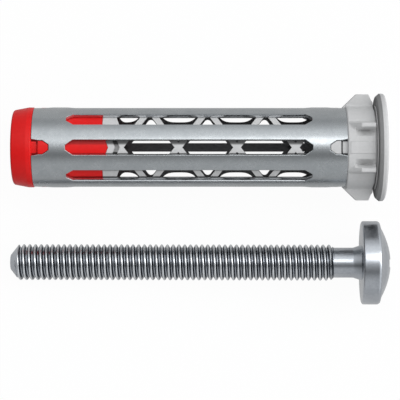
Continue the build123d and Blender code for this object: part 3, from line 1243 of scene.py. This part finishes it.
# Screw: rolled thread made by rule, shank and domed head with a cross recess
screw = {
    "crest": 2.5,
    "root": 2.05,
    "pitch": 0.8,
    "length": 48.65,
    "point": 1.15,
    "pointRadius": 1.05,
    "rowsPerTurn": 20,
    "segments": 60,
    "shankRadius": 2.07,
    "shankLength": 2.63,
    "shankOverlap": 0.15,
    "neckRadius": 2.45,
    "neckLength": 1.14,
    "neckHollow": 0.6,
    "neckFillet": 0.05,
    "runOut": 0.5,
    "headRadius": 5.76,
    "rim": 2.38,
    "dome": 1.65,
    "lowerEdge": 0.3,
    "upperEdge": 0.5,
    "crownAim": 0.8,
    "crownInset": 0.75,
    "crownRows": 10,
    "recessReach": 4.8,
    "recessWidth": 1.19,
    "recessDepth": 2.4,
    "recessOver": 0.2,
    "footReach": 2.2,
    "footWidth": 0.8,
}
# the thread's profile over half a pitch from root to crest, the shares of its depth from
# which it gets painted shade and painted highlight, and what the grid needs
thread = {
    "flank": (0.1, 0.5),
    "flankRise": 0.615,
    "paintedShadeFrom": 0.08,
    "paintedHighlightFrom": 0.80,
    "spareTurns": 4.0,
    "startTurns": 1.5,
    "foldTurns": 0.9,
    "phaseNudge": 0.001,
    "merge": 0.0005,
}
threadTop = -(screw["neckLength"] + screw["shankLength"])
threadLength = screw["length"] + threadTop
threadMiddle = threadTop - (threadLength - screw["point"]) / 2
screwPlace = lyingPlace("screw_thread", threadMiddle, -1)

threadTree = treeOf(
    "rolledThread",
    "GeometryNodeTree",
    {
        "Rod": "Geometry",
        "Crest Radius": 2.5,
        "Root Radius": 2.0,
        "Pitch": 0.8,
        "Low End": -48.1,
        "High End": -3.8,
        "Point": 0.9,
        "Point Radius": 1.9,
        "Run Out": 0.5,
        "Segments": 72,
        "Rows Per Turn": 14,
        "Material": "Material",
        "Flank Material": "Material",
        "Crest Material": "Material",
    },
    {"Screw": "Geometry"},
)
threadIn = addNode(threadTree, "NodeGroupInput").outputs
pitchValue = threadIn["Pitch"]
lowEnd, highEnd = threadIn["Low End"], threadIn["High End"]
crestValue, rootValue = threadIn["Crest Radius"], threadIn["Root Radius"]
# a flat grid, one turn wide, with whole turns and spare ones past both ends
turnCount = calc(threadTree, "SUBTRACT", highEnd, lowEnd)
turnCount = calc(threadTree, "CEIL", calc(threadTree, "DIVIDE", turnCount, pitchValue))
turnCount = calc(threadTree, "ADD", turnCount, thread["spareTurns"])
gridLength = calc(threadTree, "MULTIPLY", turnCount, pitchValue)
rowCount = calc(threadTree, "MULTIPLY", turnCount, threadIn["Rows Per Turn"])
rowCount = calc(threadTree, "ADD", rowCount, 1.0)
columnCount = calc(threadTree, "ADD", threadIn["Segments"], 1.0)
grid = addNode(threadTree, "GeometryNodeMeshGrid",
               {"Size X": 2 * pi, "Size Y": gridLength, "Vertices X": columnCount,
                "Vertices Y": rowCount})
gridPlace = addNode(threadTree, "GeometryNodeInputPosition")
gridParts = addNode(threadTree, "ShaderNodeSeparateXYZ", {"Vector": gridPlace}).outputs
spin = gridParts["X"]
halfLength = calc(threadTree, "MULTIPLY", gridLength, 0.5)
row = calc(threadTree, "ADD", gridParts["Y"], halfLength)
# the grid leans by one pitch a turn, so each row of points follows the helix
leaned = calc(threadTree, "MULTIPLY", calc(threadTree, "DIVIDE", spin, 2 * pi), pitchValue)
below = calc(threadTree, "MULTIPLY", pitchValue, thread["startTurns"])
height = calc(threadTree, "ADD", calc(threadTree, "ADD", row, leaned), lowEnd)
height = calc(threadTree, "SUBTRACT", height, below)
phase = calc(threadTree, "DIVIDE", row, pitchValue)
phase = calc(threadTree, "FRACT", calc(threadTree, "ADD", phase, thread["phaseNudge"]))
# 0 at the root and 1 at the crest: a flat root, a straight flank and a rounded crest
wedge = calc(threadTree, "SUBTRACT", calc(threadTree, "MULTIPLY", phase, 2.0), 1.0)
wedge = calc(threadTree, "ABSOLUTE", wedge)
flankRise = rampNode(threadTree, wedge, thread["flank"], 0.0, thread["flankRise"])
crestShare = rampNode(threadTree, wedge, (1.0, thread["flank"][1]), 0.0, 1.0)
crestDrop = calc(threadTree, "MULTIPLY", crestShare, crestShare)
crestRise = calc(threadTree, "SUBTRACT", 1.0, crestDrop)
crestRise = calc(threadTree, "MULTIPLY", crestRise, 1 - thread["flankRise"])
profile = calc(threadTree, "ADD", flankRise, crestRise)
depth = calc(threadTree, "SUBTRACT", crestValue, rootValue)
threadRadius = calc(threadTree, "ADD", calc(threadTree, "MULTIPLY", profile, depth), rootValue)
# the point's cone caps the crests, and the thread runs out into the shank
overLow = calc(threadTree, "SUBTRACT", height, lowEnd)
underHigh = calc(threadTree, "SUBTRACT", highEnd, height)
pointCap = rampNode(threadTree, overLow, (0.0, threadIn["Point"]),
                    threadIn["Point Radius"], crestValue)
runOutCap = rampNode(threadTree, underHigh, (0.0, threadIn["Run Out"]),
                     rootValue, crestValue)
capped = calc(threadTree, "MINIMUM", threadRadius, pointCap)
capped = calc(threadTree, "MINIMUM", capped, runOutCap)
# rows past an end fold flat into a cap
foldStart = calc(threadTree, "MULTIPLY", pitchValue, -thread["foldTurns"])
for inside in (overLow, underHigh):
    folded = rampNode(threadTree, inside, (foldStart, 0.0), 0.0, 1.0)
    capped = calc(threadTree, "MULTIPLY", capped, folded)
held = calc(threadTree, "MINIMUM", calc(threadTree, "MAXIMUM", height, lowEnd), highEnd)
threadX = calc(threadTree, "MULTIPLY", calc(threadTree, "COSINE", spin), capped)
threadY = calc(threadTree, "MULTIPLY", calc(threadTree, "SINE", spin), capped)
threadPlace = addNode(threadTree, "ShaderNodeCombineXYZ", {"X": threadX, "Y": threadY, "Z": held})
threaded = addNode(threadTree, "GeometryNodeSetPosition",
                   {"Geometry": grid, "Position": threadPlace})
closedThread = addNode(threadTree, "GeometryNodeMergeByDistance",
                       {"Geometry": threaded, "Distance": thread["merge"]})
withHead = addNode(threadTree, "GeometryNodeJoinGeometry")
feed(threadTree, withHead.inputs[0], threadIn["Rod"])
feed(threadTree, withHead.inputs[0], closedThread)
realScrew = addNode(threadTree, "GeometryNodeRealizeInstances", {"Geometry": withHead})
screwSkin = addNode(threadTree, "GeometryNodeSetMaterial",
                    {"Geometry": realScrew, "Material": threadIn["Material"]})
# the flanks with painted shade and the crests with painted highlight are told by a face's
# distance from the root, between the point and the shank
facePlace = addNode(threadTree, "GeometryNodeInputPosition")
faceParts = addNode(threadTree, "ShaderNodeSeparateXYZ", {"Vector": facePlace}).outputs
faceFlat = addNode(threadTree, "ShaderNodeCombineXYZ",
                   {"X": faceParts["X"], "Y": faceParts["Y"]})
faceRadius = addNode(threadTree, "ShaderNodeVectorMath", {0: faceFlat},
                     operation="LENGTH").outputs["Value"]
overRoot = calc(threadTree, "SUBTRACT", faceRadius, rootValue)
paintedShadeFrom = calc(threadTree, "MULTIPLY", depth, thread["paintedShadeFrom"])
paintedHighlightFrom = calc(threadTree, "MULTIPLY", depth, thread["paintedHighlightFrom"])
onFlank = calc(threadTree, "GREATER_THAN", overRoot, paintedShadeFrom)
underCrest = calc(threadTree, "LESS_THAN", overRoot, paintedHighlightFrom)
pointEnd = calc(threadTree, "ADD", lowEnd, threadIn["Point"])
overPoint = calc(threadTree, "GREATER_THAN", faceParts["Z"], pointEnd)
inThread = calc(threadTree, "LESS_THAN", faceParts["Z"], highEnd)
inThread = calc(threadTree, "MULTIPLY", inThread, overPoint)
isFlank = calc(threadTree, "MULTIPLY", calc(threadTree, "MULTIPLY", onFlank, underCrest), inThread)
isCrest = calc(threadTree, "MULTIPLY", calc(threadTree, "SUBTRACT", 1.0, underCrest), inThread)
flankSkin = addNode(threadTree, "GeometryNodeSetMaterial",
                    {"Geometry": screwSkin, "Selection": isFlank,
                     "Material": threadIn["Flank Material"]})
crestSkin = addNode(threadTree, "GeometryNodeSetMaterial",
                    {"Geometry": flankSkin, "Selection": isCrest,
                     "Material": threadIn["Crest Material"]})
addNode(threadTree, "NodeGroupOutput", {"Screw": crestSkin})


def headOutline():
    # half outline of shank and head, from the axis below to the axis on the dome
    r, rim, dome = screw["headRadius"], screw["rim"], screw["dome"]
    foot = threadTop - screw["shankOverlap"]
    aim = screw["crownAim"]
    lower = softCorners([
        (0, foot, 0),
        (screw["shankRadius"], foot, 0),
        (screw["shankRadius"], -screw["neckLength"], screw["neckHollow"]),
        (screw["neckRadius"], 0, screw["neckFillet"]),
        (r, 0, screw["lowerEdge"]),
        (r, rim, screw["upperEdge"]),
        (r * aim, rim + dome * (1 - aim * aim), 0),
    ])[1:-1]
    start = r - screw["upperEdge"] * screw["crownInset"]
    shares = evenly(1, 0, screw["crownRows"])[1:-1]
    return lower + [(start * share, rim + dome * (1 - share * share)) for share in shares]


def recessWing(turnBy):
    # one tapered bar of the cross, cut deep in the middle and reaching over the dome
    dome = screw["rim"] + screw["dome"]
    bars = (
        (dome - screw["recessDepth"], screw["footReach"] / 2, screw["footWidth"] / 2),
        (dome + screw["recessOver"], screw["recessReach"] / 2, screw["recessWidth"] / 2),
    )
    c, s = cos(turnBy), sin(turnBy)
    rows = []
    for height, reach, width in bars:
        corners = [(reach, -width), (reach, width), (-reach, width), (-reach, -width)]
        rows.append([(x * c - y * s, x * s + y * c, height) for x, y in corners])
    return skinRows(rows)


headShell = turned(headOutline(), loopClosed=False)
headObject = meshObject("domedHead", *headShell, Matrix.Identity(4), screwZinc)
for turnBy in (0.0, pi / 2):
    cutter = meshObject("recessCutter", *recessWing(turnBy), Matrix.Identity(4), screwZinc)
    cut = headObject.modifiers.new("recess", "BOOLEAN")
    cut.object = cutter
    cut.operation = "DIFFERENCE"
    cut.solver = "EXACT"
    applied(headObject)
    bpy.data.objects.remove(cutter)
headObject.name = "threadedScrew"
giveInputs(headObject, threadTree, {
    "Crest Radius": screw["crest"],
    "Root Radius": screw["root"],
    "Pitch": screw["pitch"],
    "Low End": -screw["length"],
    "High End": threadTop,
    "Point": screw["point"],
    "Point Radius": screw["pointRadius"],
    "Run Out": screw["runOut"],
    "Segments": screw["segments"],
    "Rows Per Turn": screw["rowsPerTurn"],
    "Material": screwZinc,
    "Flank Material": flankPaintedShade,
    "Crest Material": crestPaintedHighlight,
})
applied(headObject)
headObject.data.transform(screwPlace)
roundNormals(headObject, screwPlace, within=3)
settle(headObject, ["screw"])

# Floor: white to the camera and through glass, half as white to glossy rays, and it keeps
# a little of the shadow
stage = {
    "floorHalf": 0.8,
    "floorColour": (0.97, 0.97, 0.97),
    "bounceColour": (0.22, 0.22, 0.22),
    "whiteShare": 0.96,
    "glossyShare": 0.5,
    "roughness": 0.9,
    "specular": 0.1,
    "roomTint": (0.97, 0.985, 1.0),
}
floorVerts = [(x, y, 0) for x, y in ((-1, -1), (1, -1), (1, 1), (-1, 1))]
floorMaterial = bpy.data.materials.new("paleFloor")
floorMaterial.use_nodes = True
floorObject = meshObject("paleFloor", floorVerts, [[0, 1, 2, 3]],
                         Matrix.Scale(stage["floorHalf"], 4), floorMaterial)
if floorObject.data.polygons[0].normal.z < 0:
    floorObject.data.flip_normals()
floorTree = floorMaterial.node_tree
floorShader = floorTree.nodes["Principled BSDF"]
floorShader.inputs["Roughness"].default_value = stage["roughness"]
floorShader.inputs["Specular IOR Level"].default_value = stage["specular"]
whiteGlow = addNode(floorTree, "ShaderNodeEmission", {"Strength": 1.0})
rays = addNode(floorTree, "ShaderNodeLightPath").outputs
seenStraight = calc(floorTree, "MAXIMUM", rays["Is Camera Ray"], rays["Is Transmission Ray"])
floorTone = addNode(floorTree, "ShaderNodeMix",
                    {"Factor": seenStraight, "A": (*stage["bounceColour"], 1),
                     "B": (*stage["floorColour"], 1)}, data_type="RGBA")
feed(floorTree, floorShader.inputs["Base Color"], floorTone.outputs["Result"])
seenStraight = calc(floorTree, "MULTIPLY", seenStraight, stage["whiteShare"])
seenInMetal = calc(floorTree, "MULTIPLY", rays["Is Glossy Ray"], stage["glossyShare"])
whiteShare = calc(floorTree, "MAXIMUM", seenStraight, seenInMetal)
floorMix = addNode(floorTree, "ShaderNodeMixShader", {0: whiteShare, 1: floorShader, 2: whiteGlow})
feed(floorTree, floorTree.nodes["Material Output"].inputs["Surface"], floorMix)

# Room: soft bands of light and dark round the long axis, as (degrees from straight up
# towards +Y, brightness)
room = [
    (-180, 0.19),
    (-105, 0.50),
    (-70, 0.60),
    (-46, 0.62),
    (-33, 0.42),
    (-22, 0.18),
    (-9, 0.36),
    (3, 0.62),
    (15, 1.05),
    (46, 1.10),
    (60, 0.70),
    (78, 0.48),
    (110, 0.48),
    (180, 0.19),
]
# the room darkens towards the tip's end and is bright at the flange's end, each between
# two places along X
roomEnds = {
    "tip": (-0.85, -0.45),
    "tipLeft": 0.12,
    "flange": (0.2, 0.55),
    "flangeLit": 0.9,
}
world = bpy.data.worlds.new("studio")
bpy.context.scene.world = world
world.use_nodes = True
roomTree = world.node_tree
lookWay = addNode(roomTree, "ShaderNodeTexCoord").outputs["Generated"]
lookParts = addNode(roomTree, "ShaderNodeSeparateXYZ", {"Vector": lookWay}).outputs
roundAxis = calc(roomTree, "ARCTAN2", lookParts["Y"], lookParts["Z"])
roundShare = calc(roomTree, "ADD", calc(roomTree, "DIVIDE", roundAxis, 2 * pi), 0.5)
roomRamp = addNode(roomTree, "ShaderNodeValToRGB", {"Fac": roundShare})
roomRamp.color_ramp.interpolation = "EASE"
bands = roomRamp.color_ramp.elements
while len(bands) < len(room):
    bands.new(0.5)
for band, (degrees, level) in zip(bands, room):
    band.position = degrees / 360 + 0.5
    band.color = (*[level * tint for tint in stage["roomTint"]], 1)
lookX = lookParts["X"]
tipEnd = rampNode(roomTree, lookX, roomEnds["tip"], roomEnds["tipLeft"], 1.0)
flangeEnd = rampNode(roomTree, lookX, roomEnds["flange"], 0.0, roomEnds["flangeLit"],
                     interpolation_type="SMOOTHSTEP")
roomShade = addNode(roomTree, "ShaderNodeVectorMath", {0: roomRamp, "Scale": tipEnd},
                    operation="SCALE")
roomColour = addNode(roomTree, "ShaderNodeMix",
                     {"Factor": flangeEnd, "A": roomShade, "B": (*stage["roomTint"], 1)},
                     data_type="RGBA")
roomGlow = roomTree.nodes["Background"]
feed(roomTree, roomGlow.inputs["Color"], roomColour.outputs["Result"])
roomGlow.inputs["Strength"].default_value = 1.0


def softLamp(name, place, size, brightness):
    # an area lamp aimed at the origin, given by how bright it looks, so its power
    # follows its size
    data = bpy.data.lights.new(name, "AREA")
    data.shape = "RECTANGLE"
    data.size, data.size_y = size
    data.energy = brightness * pi * size[0] * size[1]
    # its long side runs along X as far as its aim allows
    outward = Vector(place).normalized()
    side = squareTo(outward, Vector((1, 0, 0)))
    newObject(name, data).matrix_world = placeOf(side, outward, place)


# Lamps as (place, size, brightness), in metres
lamps = {
    "overhead": ((0.30, 0.17, 0.52), (0.8, 0.24), 1.9),
    "rightSide": ((0.42, 0.05, 0.16), (0.3, 0.2), 1.6),
}
for lampName, (place, size, brightness) in lamps.items():
    softLamp(lampName, place, size, brightness)
print("floor, room and lamps ready")

# Camera square to the anchor's axis, over one point of it
view = {
    "distance": 0.2256,
    "overLength": 23.66,
    "sensor": 36,
    "lens": 147.6,
    "shiftX": -0.0175,
    "shiftY": -0.1315,
    "nearest": 0.01,
    "farthest": 10,
}
cameraData = bpy.data.cameras.new("camera")
camera = newObject("camera", cameraData)
bpy.context.scene.camera = camera
cameraData.sensor_width = view["sensor"]
cameraData.lens = view["lens"]
cameraData.shift_x, cameraData.shift_y = view["shiftX"], view["shiftY"]
cameraData.clip_start, cameraData.clip_end = view["nearest"], view["farthest"]
spinAnchor = anchorPlace.to_3x3().normalized()
lookedAt = anchorPlace @ Vector((0, 0, view["overLength"]))
upward, right = spinAnchor.col[0], spinAnchor.col[2]
camera.matrix_world = placeOf(right, upward, lookedAt + upward * view["distance"])

bpy.context.scene.view_settings.view_transform = "Standard"
